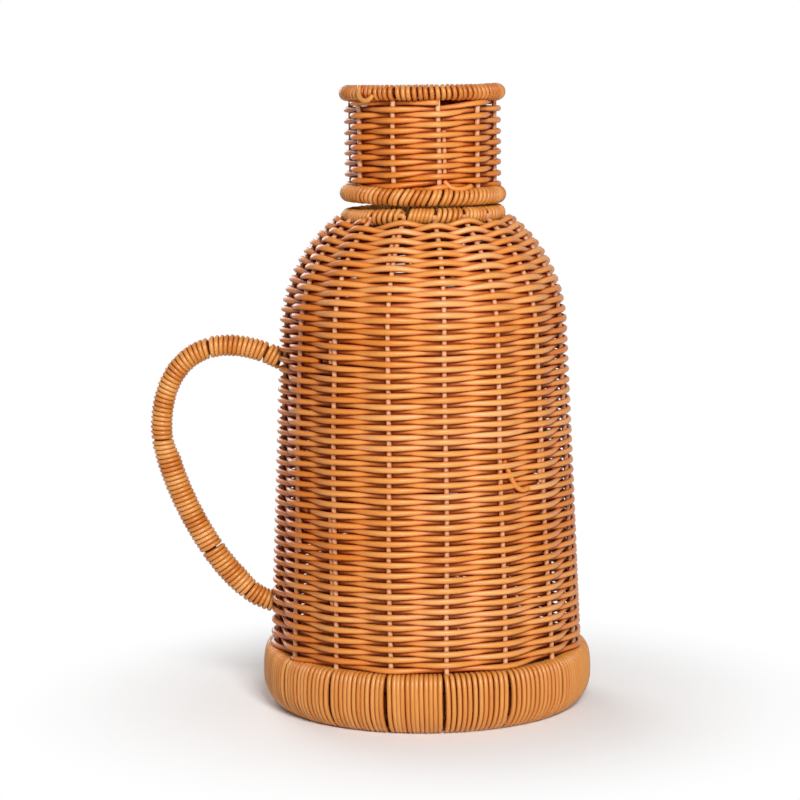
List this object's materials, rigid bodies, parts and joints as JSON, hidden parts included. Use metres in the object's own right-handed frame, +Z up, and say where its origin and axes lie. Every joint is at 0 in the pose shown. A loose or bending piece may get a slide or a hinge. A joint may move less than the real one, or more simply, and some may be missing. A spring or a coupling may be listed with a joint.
{
  "type": "woven jug",
  "caption": "Bottle-shaped jug woven from round synthetic cane, with a wound foot ring, a wound bow handle at one side and a woven cap that lifts off.",
  "frame": {"origin": "centre of the underside, on the surface that the jug stands on", "axes": "+Z up along the jug's axis, -X towards the handle, so that the front of the picture looks along +Y"},
  "size_m": [0.1992, 0.1496, 0.28],
  "materials": {
    "weaver_cane": "satin",
    "stake_cane": "satin",
    "wrap_cane": "satin",
    "woven_disc": "satin",
    "frame_wire": "satin"
  },
  "bodies": {
    "jug": {"base_floor": "woven_disc", "foot_hoop_lower": "frame_wire", "foot_hoop_upper": "frame_wire", "foot_wrap": "wrap_cane", "body_stake_01": "stake_cane", "body_stake_02": "stake_cane", "body_stake_03": "stake_cane", "body_stake_04": "stake_cane", "body_stake_05": "stake_cane", "body_stake_06": "stake_cane", "body_stake_07": "stake_cane", "body_stake_08": "stake_cane", "body_stake_09": "stake_cane", "body_stake_10": "stake_cane", "body_stake_11": "stake_cane", "body_stake_12": "stake_cane", "body_stake_13": "stake_cane", "body_stake_14": "stake_cane", "body_stake_15": "stake_cane", "body_stake_16": "stake_cane", "body_weaver_01": "weaver_cane", "body_weaver_02": "weaver_cane", "body_weaver_03": "weaver_cane", "body_weaver_04": "weaver_cane", "body_weaver_05": "weaver_cane", "body_weaver_06": "weaver_cane", "neck_hoop": "frame_wire", "neck_wrap": "wrap_cane", "handle_core": "frame_wire", "handle_wrap": "wrap_cane"},
    "cap": {"cap_seat_hoop": "frame_wire", "cap_seat_wrap": "wrap_cane", "cap_stake_01": "stake_cane", "cap_stake_02": "stake_cane", "cap_stake_03": "stake_cane", "cap_stake_04": "stake_cane", "cap_stake_05": "stake_cane", "cap_stake_06": "stake_cane", "cap_stake_07": "stake_cane", "cap_stake_08": "stake_cane", "cap_stake_09": "stake_cane", "cap_stake_10": "stake_cane", "cap_weaver_01": "weaver_cane", "cap_weaver_02": "weaver_cane", "cap_rim_hoop": "frame_wire", "cap_rim_wrap": "wrap_cane", "cap_top": "woven_disc"}
  },
  "joints": [
    {"name": "cap_lift", "type": "slide", "parent": "jug", "child": "cap", "axis": [0, 0, 1], "range_m": [0, 0.08]}
  ]
}
